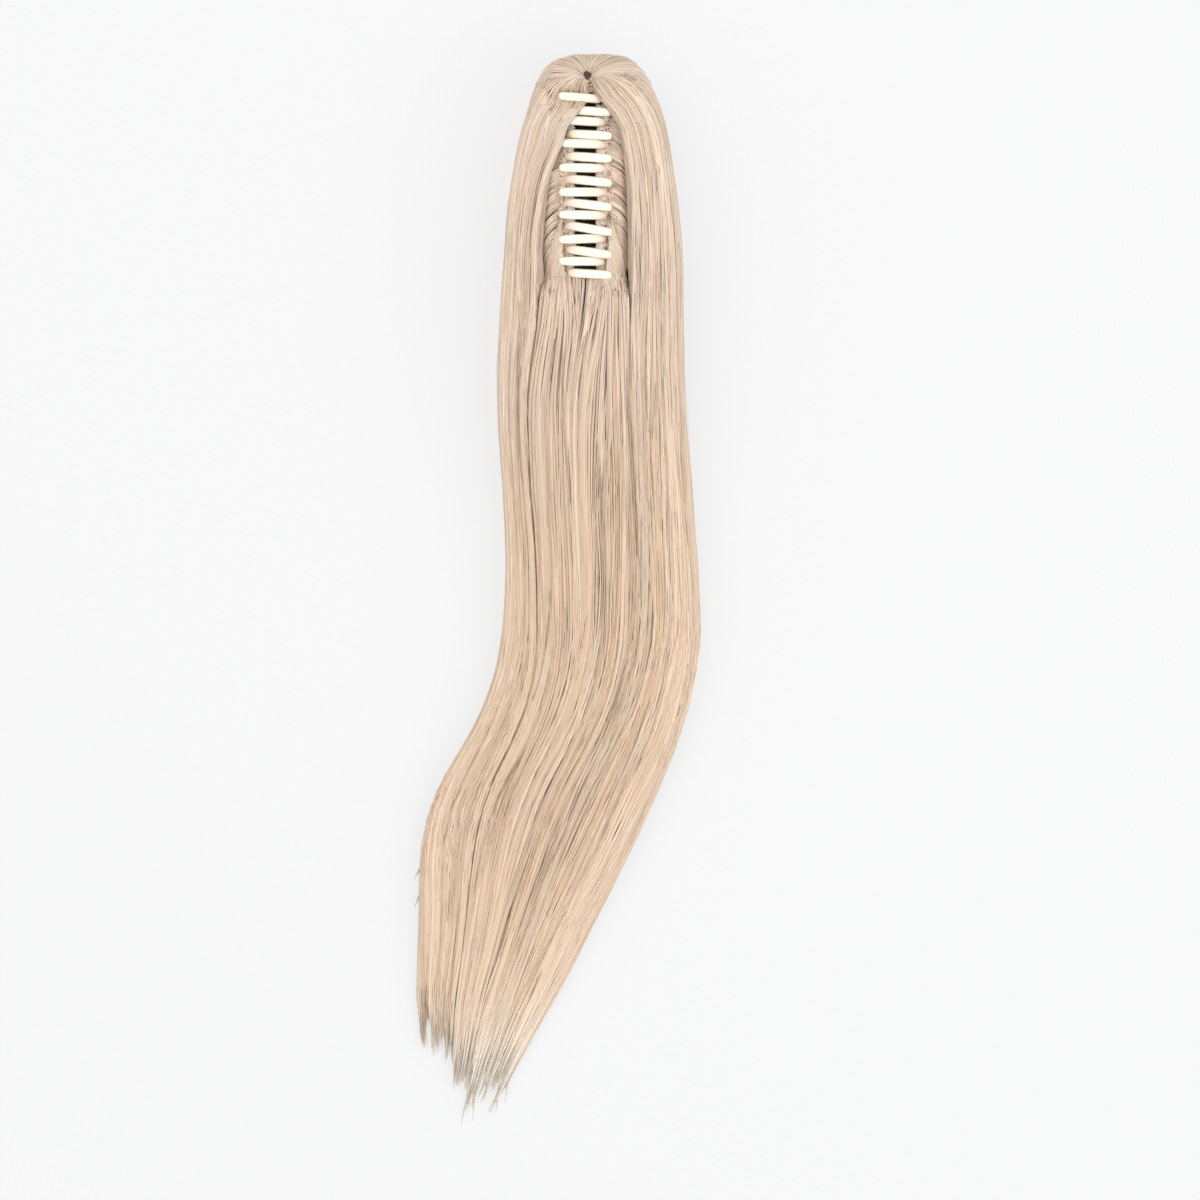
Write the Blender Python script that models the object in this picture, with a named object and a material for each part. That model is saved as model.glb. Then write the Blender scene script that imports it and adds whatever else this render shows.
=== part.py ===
"""A clip-in ponytail: long straight hair sewn round a claw clip.

It lies on its back on the XY plane with the claw's teeth up (+Z) and the crown
towards +Y. Sizes are in millimetres; mm() turns them into metres. X and Y of
the origin are the middle of the claw.
"""
import math

import bmesh
import bpy
from mathutils import Vector

# Claw clip
HINGE_Z = 36.0
JAW_HALF_LENGTH = 47.0
# How much longer it is than the claw that the tables below are drawn for
CLAW_STRETCH = JAW_HALF_LENGTH / 47.0
JAW_WALL = 2.0
JAW_END_DROP = 0.2
JAW_END_TAPER = 0.1
TOOTH_END_DROP = 0.165
TEETH_PER_JAW = 8
TOOTH_WIDTH = 3.9
TOOTH_THICKNESS = 2.6
TOOTH_SIDES = 8
# From the claw's crown end to its first tooth, and from its last tooth to the other end
TOOTH_END_ROOM = {"left": (9.1, 2.44), "right": (2.6, 8.94)}
TOOTH_DROP = {"left": -0.9, "right": 0.45}
SIDE = {"left": -1, "right": 1}
# Nothing moulded or sewn is exactly straight: a slight wave over each jaw
JAW_WAVE = 0.02

# Centre line of a jaw's wall in section: out from the hinge, and above it.
JAW_LINE = [
    # out, above
    (10.4, 22.8),
    (14.0, 20.7),
    (17.4, 16.4),
    (19.4, 11.0),
    (19.2, 5.0),
    (16.6, -1.0),
    (14.6, -6.0),
]
LEVER_LINE = [
    # out, above
    (16.4, 2.6),
    (15.7, -3.6),
    (15.4, -8.6),
    (16.0, -13.4),
    (17.5, -18.0),
    (19.2, -20.9),
]
LEVER_WALL = 1.7
LEVER_HALF_WIDTH = 17.0
LEVER_RIDGE_RADIUS = 1.2

# Centre line of a tooth: across towards the other jaw, above the hinge, scale.
TOOTH_LINE = [
    # across, above, share of the full thickness
    (-10.3, 21.6, 0.7),
    (-9.6, 24.2, 0.9),
    (-6.2, 27.1, 1.0),
    (-0.5, 28.5, 1.0),
    (5.5, 28.3, 1.0),
    (10.3, 27.2, 0.93),
    (12.4, 26.5, 0.7),
    (13.3, 26.2, 0.3),
]

# Hinge
PIN_RADIUS = 1.1
PIN_CLEARANCE = 0.1
PIN_SIDES = 14
PIN_HEAD_RADIUS = 2.3
PIN_HEAD_LENGTH = 1.2
KNUCKLE_RADIUS = 3.2
KNUCKLE_LENGTH = 4.0
KNUCKLE_GAP = 0.3
KNUCKLE_START = 8.0
RIB_HALF_HEIGHT = 2.2
SPRING_RADIUS = 2.45
SPRING_WIRE = 0.5
SPRING_TURNS = 5.5
SPRING_HALF_LENGTH = 6.6
SPRING_STEPS_PER_TURN = 8
SPRING_LEG_GAP = 0.3

# Hair bands sewn on the jaws
WEFT_RADIUS = 29.6
WEFT_GAP = 0.4
WEFT_LEAST = 0.7
WEFT_START_ANGLE = 27.5
WEFT_EDGE_DROP = 2.2
WEFT_EDGE_SHARE = 0.2
WEFT_END_ANGLE = 94.0
WEFT_LOCKS = 11
WEFT_GROOVE = 1.3
WEFT_SLANT = 1.5
WEFT_STEPS_PER_LOCK = 3
WEFT_ARC_STEPS = 8
WEFT_HALF_LENGTH = JAW_HALF_LENGTH - 1.0

# Hollow that the jaws open into
POCKET_CLEARANCE = 0.6
POCKET_SIDES = 28
SHOULDER = [
    # |y|, radius taken off the middle's radius
    (0.0, 0.0),
    (20.0, 0.0),
    (33.0, 1.3),
    (39.0, 2.7),
    (45.0, 4.5),
    (48.5, 5.4),
]

# Outline of all the hair, as the claw's side shows it.
HAIR = [
    # y, left x, right x, lowest z, highest z
    (66.6, -5.0, 14.0, 24.0, 40.0),
    (64.6, -13.0, 21.5, 15.0, 47.0),
    (60.5, -19.6, 27.0, 6.0, 55.5),
    (55.0, -23.2, 31.2, 1.0, 60.5),
    (48.0, -26.6, 34.8, 0.0, 63.5),
    (38.8, -30.3, 38.4, 0.0, 65.2),
    (26.0, -34.2, 41.6, 0.0, 66.3),
    (10.0, -37.0, 44.0, 0.0, 66.8),
    (-8.0, -39.6, 46.2, 0.0, 66.8),
    (-28.0, -41.2, 48.2, 0.0, 66.3),
    (-50.0, -43.0, 49.0, 0.0, 64.0),
    (-70.0, -44.0, 49.2, 0.0, 60.5),
    (-95.0, -45.0, 49.4, 0.0, 54.5),
    (-122.0, -44.5, 51.0, 0.0, 47.5),
    (-150.0, -42.6, 53.3, 0.0, 41.0),
    (-178.0, -41.0, 55.2, 0.0, 35.5),
    (-204.0, -41.0, 57.2, 0.0, 31.5),
    (-230.0, -43.0, 57.8, 0.0, 28.5),
    (-248.0, -46.6, 55.4, 0.0, 26.8),
    (-266.0, -53.2, 51.4, 0.0, 25.2),
    (-284.0, -61.6, 45.6, 0.0, 23.6),
    (-302.0, -70.5, 38.8, 0.0, 22.0),
    (-322.0, -77.0, 29.6, 0.0, 20.2),
    (-346.0, -80.5, 18.6, 0.0, 18.0),
    (-370.0, -82.6, 5.6, 0.0, 15.4),
    (-392.0, -83.8, -4.4, 0.0, 12.6),
    (-412.0, -82.6, -16.0, 0.0, 9.4),
    (-430.0, -76.0, -27.0, 0.0, 5.6),
    (-444.0, -66.0, -36.0, 0.0, 2.6),
]
HAIR_SQUARENESS = 2.5
WIDEST_SHARE = 0.42
FLOOR_SINK = 5.0
LOCK_EDGES = [0.0, 0.07, 0.16, 0.27, 0.37, 0.46, 0.58, 0.68, 0.8, 0.91, 1.0]
LOCK_STEPS = 3
LOCK_GROOVE = 1.7
CROWN_GROOVE_SHARE = 0.35
UNDER_STEPS = 8

# Window over the teeth, between the side falls
WINDOW = [
    # y, left x, right x
    (-48.0, -23.0, 23.0),
    (-36.0, -23.6, 22.9),
    (-16.0, -22.0, 22.7),
    (0.0, -20.0, 22.2),
    (13.0, -17.6, 21.4),
    (29.0, -16.4, 19.4),
    (45.0, -15.6, 16.6),
    (49.8, -9.0, 10.0),
    (51.6, -2.0, 3.5),
]
WINDOW_FLOOR = 10.0
ABOVE_ALL = 90.0

# Inner tail: shares of the hair's width, and its floor as a share of its height
CORE = [
    # y, left share, right share, floor share
    (-48.8, 0.218, 0.718, 0.46),
    (-70.0, 0.185, 0.722, 0.44),
    (-110.0, 0.13, 0.722, 0.42),
    (-160.0, 0.125, 0.69, 0.42),
    (-210.0, 0.15, 0.66, 0.44),
    (-260.0, 0.2, 0.64, 0.48),
    (-305.0, 0.27, 0.6, 0.54),
    (-345.0, 0.36, 0.52, 0.64),
    (-372.0, 0.42, 0.46, 0.74),
]
SEAM_GAP = 0.3

# Pointed ends of the tail's locks
TIPS = [
    # root x, root y, tip x, tip y, width, height
    (-78.0, -384.0, -81.4, -438.0, 11.0, 9.0),
    (-69.0, -386.0, -71.4, -443.0, 12.0, 9.6),
    (-59.0, -390.0, -65.4, -456.0, 12.0, 9.6),
    (-49.0, -392.0, -57.6, -472.0, 12.0, 9.6),
    (-38.0, -394.0, -51.4, -461.0, 12.0, 9.2),
    (-28.0, -392.0, -45.8, -466.0, 12.0, 8.8),
    (-17.0, -388.0, -38.6, -453.0, 11.0, 8.0),
    (-64.0, -296.0, -86.2, -349.0, 9.0, 7.6),
    (-73.0, -326.0, -85.6, -374.0, 9.0, 8.2),
]
TIP_STEPS = 4
TIP_SIDES = 6
TIP_RADIUS = 0.5
TIP_LIFT = 0.7

# Little hole where the strands part at the crown
WHORL_AT = (1.3, 58.6)
WHORL_RADIUS = 2.6
WHORL_DEPTH = 9.0
WHORL_SIDES = 12

COLOURS = {
    # name: colour, roughness, metallic
    "clip_plastic": ((0.93, 0.88, 0.74, 1.0), 0.35, 0.0),
    "steel": ((0.72, 0.68, 0.6, 1.0), 0.3, 1.0),
    "hair": ((0.68, 0.55, 0.42, 1.0), 0.55, 0.0),
    "weft": ((0.6, 0.47, 0.36, 1.0), 0.6, 0.0),
}


def mm(*numbers):
    return Vector([n / 1000 for n in numbers])


def set_y(y):
    """Where a drawn y comes: scaled beside the claw, moved with its ends past them."""
    end = JAW_HALF_LENGTH / CLAW_STRETCH
    beside = min(max(y, -end), end)
    return beside * CLAW_STRETCH + (y - beside)


def set_rows(rows):
    return [(set_y(row[0]), *row[1:]) for row in rows]


def between(rows, at):
    """The row of a table at a value of its first column, eased along a smooth curve."""
    rows = sorted(rows)
    at = min(max(at, rows[0][0]), rows[-1][0])
    i = max(k for k in range(len(rows) - 1) if rows[k][0] <= at)
    low, high = rows[i], rows[i + 1]
    span = high[0] - low[0]
    t = (at - low[0]) / span
    found = [at]
    for c in range(1, len(low)):
        slope = (high[c] - low[c]) / span
        before = slope
        after = slope
        if i > 0:
            before = (high[c] - rows[i - 1][c]) / (high[0] - rows[i - 1][0])
        if i + 2 < len(rows):
            after = (rows[i + 2][c] - low[c]) / (rows[i + 2][0] - low[0])
        a = (2 * t**3 - 3 * t**2 + 1) * low[c]
        b = (t**3 - 2 * t**2 + t) * span * before
        d = (-2 * t**3 + 3 * t**2) * high[c]
        e = (t**3 - t**2) * span * after
        found.append(a + b + d + e)
    return found


def along(line, share):
    """A point of a polyline at a share of its steps."""
    place = share * (len(line) - 1)
    i = min(int(place), len(line) - 2)
    t = place - i
    return [a + (b - a) * t for a, b in zip(line[i], line[i + 1])]


def material(name):
    made = bpy.data.materials.get(name)
    if made:
        return made
    colour, roughness, metallic = COLOURS[name]
    made = bpy.data.materials.new(name)
    made.use_nodes = True
    shader = made.node_tree.nodes["Principled BSDF"]
    shader.inputs["Base Color"].default_value = colour
    shader.inputs["Roughness"].default_value = roughness
    shader.inputs["Metallic"].default_value = metallic
    made.diffuse_color = colour
    return made


def cap(shape, ring, bent):
    """Closes a ring: with one face, or as a strip between the two sides of a bent band."""
    if not bent:
        shape.faces.new(ring)
        return
    last = len(ring) - 1
    for k in range(last // 2):
        shape.faces.new((ring[k], ring[k + 1], ring[last - k - 1], ring[last - k]))


def solid(name, rings, look=None, helper=False, bent=False):
    """A closed object lofted through rings of as many points each, in millimetres."""
    shape = bmesh.new()
    made = [[shape.verts.new(mm(*p)) for p in ring] for ring in rings]
    count = len(rings[0])
    for low, high in zip(made, made[1:]):
        for k in range(count):
            nxt = (k + 1) % count
            shape.faces.new((low[k], low[nxt], high[nxt], high[k]))
    cap(shape, made[0][::-1], bent)
    cap(shape, made[-1], bent)
    bmesh.ops.triangulate(shape, faces=shape.faces[:])
    bmesh.ops.recalc_face_normals(shape, faces=shape.faces[:])
    data = bpy.data.meshes.new(name)
    shape.to_mesh(data)
    shape.free()
    obj = bpy.data.objects.new(name, data)
    bpy.context.scene.collection.objects.link(obj)
    if look:
        data.materials.append(material(look))
    if helper:
        obj.hide_render = True
        obj.display_type = "WIRE"
    return obj


def boolean(obj, tool, operation):
    step = obj.modifiers.new(operation.title() + "_" + tool.name, "BOOLEAN")
    step.operation = operation
    step.solver = "MANIFOLD"
    step.object = tool
    tool.hide_render = True
    tool.display_type = "WIRE"


def jaw_wave(place):
    x, y, z = [1000 * c for c in place]
    across = math.sin(0.9 * y + 0.7 * z)
    along_claw = math.sin(1.1 * x + 0.6 * z)
    upward = math.sin(0.8 * x + 1.3 * y)
    return mm(JAW_WAVE * across, JAW_WAVE * along_claw, JAW_WAVE * upward)


def place_on(obj, axis):
    """Parents obj to an empty on its joint's axis, and keeps it where it is."""
    obj.parent = axis
    obj.matrix_parent_inverse.identity()
    for vertex in obj.data.vertices:
        vertex.co += jaw_wave(vertex.co)
        vertex.co -= axis.location


def disc_rings(radius, low, high, sides, centre=(0.0, HINGE_Z)):
    """Two rings round the hinge's direction, Y."""
    rings = []
    for y in (low, high):
        ring = []
        for k in range(sides):
            turn = 2 * math.pi * k / sides
            x = centre[0] + radius * math.sin(turn)
            z = centre[1] + radius * math.cos(turn)
            ring.append((x, y, z))
        rings.append(ring)
    return rings


def end_scale(y):
    """How far the claw's wall draws in and its teeth drop towards its two ends."""
    share = abs(y / JAW_HALF_LENGTH) ** 2.4
    return 1 - JAW_END_TAPER * share, 1 - JAW_END_DROP * share


def pocket_radius(y):
    return WEFT_RADIUS + POCKET_CLEARANCE - between(set_rows(SHOULDER), abs(y))[1]


def thick_line(line, thickness, steps):
    """The outline round a line in section: out along one side, back along the other."""
    points = [along(line, k / steps) for k in range(steps + 1)]
    outer = []
    inner = []
    for k, (x, z) in enumerate(points):
        before = points[max(k - 1, 0)]
        after = points[min(k + 1, steps)]
        dx, dz = after[0] - before[0], after[1] - before[1]
        length = math.hypot(dx, dz)
        nx, nz = -dz / length, dx / length
        half = thickness / 2
        outer.append((x + nx * half, z + nz * half))
        inner.append((x - nx * half, z - nz * half))
    return outer + inner[::-1]


def section_loft(outline, stations, side, scaled):
    rings = []
    for y in stations:
        wide, tall = end_scale(y) if scaled else (1.0, 1.0)
        ring = [(side * x * wide, y, HINGE_Z + z * (tall if z > 0 else 1.0)) for x, z in outline]
        rings.append(ring)
    return rings


def tooth_rings(name, y0):
    """A curved tooth with a rounded tip, from its jaw's edge over to the other jaw."""
    side = SIDE[name]
    wide = end_scale(y0)[0]
    size = 1 - TOOTH_END_DROP * abs(y0 / JAW_HALF_LENGTH) ** 2.4
    rings = []
    last = TOOTH_LINE[-1][0] - TOOTH_LINE[0][0]
    for k, (across, above, share) in enumerate(TOOTH_LINE):
        near = TOOTH_LINE[max(k - 1, 0)]
        far = TOOTH_LINE[min(k + 1, len(TOOTH_LINE) - 1)]
        dx, dz = far[0] - near[0], (far[1] - near[1]) * size
        length = math.hypot(dx, dz)
        nx, nz = -dz / length, dx / length
        slip = TOOTH_DROP[name] * ((across - TOOTH_LINE[0][0]) / last - 0.5)
        ring = []
        for j in range(TOOTH_SIDES):
            turn = 2 * math.pi * j / TOOTH_SIDES
            aside = TOOTH_WIDTH / 2 * share ** 0.5 * math.cos(turn)
            up = TOOTH_THICKNESS / 2 * share * math.sin(turn)
            x = -side * (across * (wide if k < 2 else 1.0) + nx * up)
            ring.append((x, y0 + slip + aside, HINGE_Z + above * size + nz * up))
        rings.append(ring)
    return rings


def knuckle_spans(name):
    """Where this jaw's knuckles lie along the pin. The other jaw's lie beside them."""
    step = KNUCKLE_LENGTH + KNUCKLE_GAP
    first = KNUCKLE_START if name == "left" else KNUCKLE_START + step
    mirror = KNUCKLE_START + step if name == "left" else KNUCKLE_START
    return [(first, first + KNUCKLE_LENGTH), (-mirror - KNUCKLE_LENGTH, -mirror)]


def make_jaw(name, axis):
    side = SIDE[name]
    steps = 5
    stations = [JAW_HALF_LENGTH * math.sin(math.pi / 2 * k / steps) for k in range(-steps, steps + 1)]
    wall = thick_line(JAW_LINE, JAW_WALL, 10)
    rings = section_loft(wall, stations, side, True)
    jaw = solid("jaw_" + name, rings, "clip_plastic", bent=True)
    half = LEVER_HALF_WIDTH
    lever = thick_line(LEVER_LINE, LEVER_WALL, 7)
    ways = (-half, -half * 0.9, half * 0.9, half)
    rings = section_loft(lever, ways, side, False)
    boolean(jaw, solid(name + "_lever", rings, helper=True, bent=True), "UNION")
    end = LEVER_LINE[-1]
    ridge = disc_rings(
        LEVER_RIDGE_RADIUS, -half * 0.85, half * 0.85, 10, (side * end[0], HINGE_Z + end[1] + 0.4)
    )
    boolean(jaw, solid(name + "_ridge", ridge, helper=True), "UNION")
    for k, (low, high) in enumerate(knuckle_spans(name)):
        barrel = disc_rings(KNUCKLE_RADIUS, low, high, PIN_SIDES)
        boolean(jaw, solid(f"{name}_barrel_{k}", barrel, helper=True), "UNION")
        inset = 0.15
        rib = []
        for y in (low + inset, high - inset):
            top, foot = RIB_HALF_HEIGHT, -RIB_HALF_HEIGHT
            out = JAW_LINE[4][0]
            rib.append([
                (side * 1.4, y, HINGE_Z + foot),
                (side * 1.4, y, HINGE_Z + top),
                (side * out, y, HINGE_Z + top + 4.0),
                (side * (out - 2.6), y, HINGE_Z + foot),
            ])
        boolean(jaw, solid(f"{name}_rib_{k}", rib, helper=True), "UNION")
    first, last = TOOTH_END_ROOM[name]
    pitch = (2 * JAW_HALF_LENGTH - first - last) / (TEETH_PER_JAW - 1)
    for k in range(TEETH_PER_JAW):
        rings = tooth_rings(name, JAW_HALF_LENGTH - first - k * pitch)
        boolean(jaw, solid(f"{name}_tooth_{k + 1}", rings, helper=True), "UNION")
    reach = KNUCKLE_START + 3 * KNUCKLE_LENGTH
    bore = disc_rings(PIN_RADIUS + PIN_CLEARANCE, -reach, reach, PIN_SIDES)
    boolean(jaw, solid(name + "_bore", bore, helper=True), "DIFFERENCE")
    place_all(jaw, axis)
    return jaw


def place_all(obj, axis):
    """Puts a moving piece and the helpers of its Booleans on its joint's axis."""
    place_on(obj, axis)
    for step in obj.modifiers:
        if step.type == "BOOLEAN":
            place_on(step.object, axis)


def make_pin():
    """A turned pin: head, shank, head, as one lofted solid."""
    reach = KNUCKLE_START + 2 * KNUCKLE_LENGTH + 2 * KNUCKLE_GAP
    marks = [
        # y, radius
        (-reach - PIN_HEAD_LENGTH, PIN_HEAD_RADIUS * 0.8),
        (-reach - PIN_HEAD_LENGTH * 0.7, PIN_HEAD_RADIUS),
        (-reach, PIN_HEAD_RADIUS),
        (-reach + 0.001, PIN_RADIUS),
        (reach - 0.001, PIN_RADIUS),
        (reach, PIN_HEAD_RADIUS),
        (reach + PIN_HEAD_LENGTH * 0.7, PIN_HEAD_RADIUS),
        (reach + PIN_HEAD_LENGTH, PIN_HEAD_RADIUS * 0.8),
    ]
    rings = [disc_rings(r, y, y, PIN_SIDES)[0] for y, r in marks]
    return solid("hinge_pin", rings, "steel")


def tube_rings(path, radius, sides):
    """Rings square to a path of points, turned as little as they can be."""
    points = [Vector(p) for p in path]
    rings = []
    side = None
    for k, point in enumerate(points):
        ahead = points[min(k + 1, len(points) - 1)] - points[max(k - 1, 0)]
        ahead.normalize()
        if side is None:
            side = ahead.orthogonal().normalized()
        side = (side - ahead * side.dot(ahead)).normalized()
        up = ahead.cross(side)
        ring = []
        for j in range(sides):
            turn = 2 * math.pi * j / sides
            ring.append(tuple(point + side * (radius * math.cos(turn)) + up * (radius * math.sin(turn))))
        rings.append(ring)
    return rings


def make_spring():
    """Coils round the pin, with a leg behind each lever."""
    inner = along(LEVER_LINE, 0.42)
    reach_out = inner[0] - LEVER_WALL / 2 - SPRING_WIRE - SPRING_LEG_GAP
    steps = int(SPRING_TURNS * SPRING_STEPS_PER_TURN)
    start = math.radians(225)
    path = []
    for k in range(steps + 1):
        turn = start + 2 * math.pi * k / SPRING_STEPS_PER_TURN
        y = -SPRING_HALF_LENGTH + 2 * SPRING_HALF_LENGTH * k / steps
        path.append((SPRING_RADIUS * math.sin(turn), y, HINGE_Z + SPRING_RADIUS * math.cos(turn)))
    first, last = path[0], path[-1]
    left_foot = (-reach_out, first[1], HINGE_Z + inner[1])
    right_foot = (reach_out, last[1], HINGE_Z + inner[1])
    path = [left_foot] + path + [right_foot]
    return solid("torsion_spring", tube_rings(path, SPRING_WIRE, 5), "steel")


def wall_radius(angle, y):
    """How far from the hinge the outside of a jaw's wall is, at an angle from straight up."""
    wide, tall = end_scale(y)
    outline = thick_line(JAW_LINE, JAW_WALL, 10)
    outline = [(x * wide, z * (tall if z > 0 else 1.0)) for x, z in outline]
    turn = math.radians(angle)
    across = (math.cos(turn), -math.sin(turn))
    ahead = (math.sin(turn), math.cos(turn))
    best = 0.0
    for (ax, az), (bx, bz) in zip(outline, outline[1:] + outline[:1]):
        low = ax * across[0] + az * across[1]
        high = bx * across[0] + bz * across[1]
        if low * high > 0 or low == high:
            continue
        t = low / (low - high)
        x, z = ax + (bx - ax) * t, az + (bz - az) * t
        best = max(best, x * ahead[0] + z * ahead[1])
    return best


def make_weft(name, axis):
    """The hair sewn along a jaw: slanting locks on a band that lies on the jaw's wall."""
    side = SIDE[name]
    count = WEFT_LOCKS * WEFT_STEPS_PER_LOCK
    rings = []
    for k in range(count + 1):
        y = WEFT_HALF_LENGTH * (1 - 2 * k / count)
        full = pocket_radius(y) - POCKET_CLEARANCE
        outer = []
        inner = []
        for j in range(WEFT_ARC_STEPS + 1):
            share = j / WEFT_ARC_STEPS
            angle = WEFT_START_ANGLE + (WEFT_END_ANGLE - WEFT_START_ANGLE) * share
            turn = math.radians(angle)
            phase = k / WEFT_STEPS_PER_LOCK - WEFT_SLANT * share
            groove = WEFT_GROOVE * (1 - abs(math.sin(math.pi * phase))) * min(1.0, 0.45 + 1.2 * share)
            edge = WEFT_EDGE_DROP * max(0.0, 1 - share / WEFT_EDGE_SHARE) ** 1.5
            low = wall_radius(angle, y) + WEFT_GAP
            radius = max(full - max(groove, edge), low + WEFT_LEAST)
            outer.append((side * radius * math.sin(turn), y, HINGE_Z + radius * math.cos(turn)))
            inner.append((side * low * math.sin(turn), y, HINGE_Z + low * math.cos(turn)))
        rings.append(outer + inner[::-1])
    weft = solid("weft_" + name, rings, "weft", bent=True)
    place_all(weft, axis)
    return weft


def hair_section(y):
    """One closed section of the whole hair, with a groove between each two locks."""
    _, left, right, low, high = between(set_rows(HAIR), y)
    middle = (left + right) / 2
    half = (right - left) / 2
    widest = low + (high - low) * WIDEST_SHARE
    power = 2 / HAIR_SQUARENESS
    depth = LOCK_GROOVE * min(1.0, high / 30)
    if y > -60:
        depth *= CROWN_GROOVE_SHARE
    ring = []
    for lock in range(len(LOCK_EDGES) - 1):
        for step in range(LOCK_STEPS):
            part = step / LOCK_STEPS
            share = LOCK_EDGES[lock] + (LOCK_EDGES[lock + 1] - LOCK_EDGES[lock]) * part
            turn = math.pi * (1 - share)
            inset = depth * (1 - math.sin(math.pi * part) ** 0.7)
            c, s = math.cos(turn), math.sin(turn)
            x = middle + (half - inset) * math.copysign(abs(c) ** power, c)
            z = widest + (high - widest - inset) * abs(s) ** power
            ring.append((x, y, z))
    for step in range(UNDER_STEPS):
        turn = -math.pi * step / UNDER_STEPS
        c, s = math.cos(turn), math.sin(turn)
        x = middle + (half - depth * 0.5) * math.copysign(abs(c) ** power, c)
        z = widest - (widest - low + FLOOR_SINK * (low < 1)) * abs(s) ** power
        ring.append((x, y, max(z, low)))
    return ring


def hair_body(name, look=None, helper=False):
    return solid(name, [hair_section(set_y(row[0])) for row in HAIR], look, helper)


def core_rings(grown):
    """The inner tail's limits, grown or shrunk by half the seam on every side."""
    off = SEAM_GAP / 2 if grown else -SEAM_GAP / 2
    rings = []
    for k, (y, left, right, floor) in enumerate(set_rows(CORE)):
        _, low_x, high_x, _, high = between(set_rows(HAIR), y)
        a = low_x + (high_x - low_x) * left - off
        b = low_x + (high_x - low_x) * right + off
        z = high * floor - off
        if k == 0:
            y += 0.9 if grown else 0.0
        if k == len(CORE) - 1:
            y -= off
        corner = (b - a) * 0.16
        ring = [
            (a, y, ABOVE_ALL),
            (a, y, z + corner * 0.8),
            (a + corner, y, z),
            (b - corner, y, z),
            (b, y, z + corner * 0.8),
            (b, y, ABOVE_ALL),
        ]
        rings.append(ring)
    return rings


def tip_rings(root_x, root_y, tip_x, tip_y, width, height):
    """A lock's pointed end, laid just clear of the floor."""
    rings = []
    for k in range(TIP_STEPS + 1):
        t = k / TIP_STEPS
        x = root_x + (tip_x - root_x) * t ** 1.2
        y = set_y(root_y + (tip_y - root_y) * t)
        size = (1 - t) ** 0.75
        half = max(width / 2 * size, TIP_RADIUS)
        tall = max(height / 2 * size, TIP_RADIUS)
        ring = []
        for j in range(TIP_SIDES):
            turn = 2 * math.pi * j / TIP_SIDES
            ring.append((x + half * math.cos(turn), y, TIP_LIFT + tall + tall * math.sin(turn)))
        rings.append(ring)
    return rings


def window_rings():
    rows = set_rows(WINDOW)
    outline = [(row[1], row[0]) for row in rows]
    outline += [(row[2], row[0]) for row in rows[::-1]]
    return [[(x, y, z) for x, y in outline] for z in (HINGE_Z + WINDOW_FLOOR, ABOVE_ALL)]


def pocket_rings():
    rows = set_rows(SHOULDER)[1:]
    marks = sorted([-row[0] for row in rows] + [row[0] for row in rows])
    return [disc_rings(pocket_radius(y), y, y, POCKET_SIDES)[0] for y in marks]


def make_hair():
    mantle = hair_body("hair_mantle", "hair")
    for k, row in enumerate(TIPS):
        boolean(mantle, solid(f"lock_tip_{k + 1}", tip_rings(*row), helper=True), "UNION")
    boolean(mantle, solid("claw_pocket", pocket_rings(), helper=True), "DIFFERENCE")
    boolean(mantle, solid("teeth_window", window_rings(), helper=True), "DIFFERENCE")
    boolean(mantle, solid("core_space", core_rings(True), helper=True), "DIFFERENCE")
    x, y = WHORL_AT[0], set_y(WHORL_AT[1])
    top = between(set_rows(HAIR), y)[4]
    whorl = []
    for z, radius in ((top - WHORL_DEPTH, WHORL_RADIUS * 0.35), (top + 4, WHORL_RADIUS * 1.3)):
        ring = []
        for k in range(WHORL_SIDES):
            turn = 2 * math.pi * k / WHORL_SIDES
            ring.append((x + radius * math.sin(turn), y + 1.5 * radius * math.cos(turn), z))
        whorl.append(ring)
    boolean(mantle, solid("whorl_hole", whorl, helper=True), "DIFFERENCE")
    core = hair_body("hair_core", "hair")
    boolean(core, solid("core_limits", core_rings(False), helper=True), "INTERSECT")


def main():
    for obj in list(bpy.data.objects):
        bpy.data.objects.remove(obj, do_unlink=True)
    for name in ("left", "right"):
        axis = bpy.data.objects.new("hinge_axis_" + name, None)
        axis.location = mm(0.0, 0.0, HINGE_Z)
        bpy.context.scene.collection.objects.link(axis)
        make_jaw(name, axis)
        make_weft(name, axis)
    make_pin()
    make_spring()
    make_hair()


main()
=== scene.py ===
"""Looks of a clip-in ponytail: long straight hair sewn round a claw clip.

It lies on its back with the claw's teeth up (+Z) and the crown towards +Y. Tables are
in millimetres, and points turn into metres where a mesh is made.
"""

import math

import bmesh
import bpy
import numpy as np
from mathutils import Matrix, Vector


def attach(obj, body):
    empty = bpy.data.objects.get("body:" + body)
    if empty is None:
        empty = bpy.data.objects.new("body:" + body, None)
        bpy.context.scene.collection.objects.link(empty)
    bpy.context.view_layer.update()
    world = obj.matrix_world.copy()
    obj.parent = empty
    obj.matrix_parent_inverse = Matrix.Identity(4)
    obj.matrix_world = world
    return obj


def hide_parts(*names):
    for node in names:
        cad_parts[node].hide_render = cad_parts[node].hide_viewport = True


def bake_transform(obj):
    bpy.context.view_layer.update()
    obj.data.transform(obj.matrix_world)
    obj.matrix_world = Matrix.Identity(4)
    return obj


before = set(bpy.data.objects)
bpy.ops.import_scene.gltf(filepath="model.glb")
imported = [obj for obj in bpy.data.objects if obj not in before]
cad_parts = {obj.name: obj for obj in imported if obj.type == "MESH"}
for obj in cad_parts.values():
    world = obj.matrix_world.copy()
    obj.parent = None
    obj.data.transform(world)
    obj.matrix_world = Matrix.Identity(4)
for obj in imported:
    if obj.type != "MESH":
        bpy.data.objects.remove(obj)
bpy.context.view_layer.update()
rng = np.random.default_rng(20)

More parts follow.
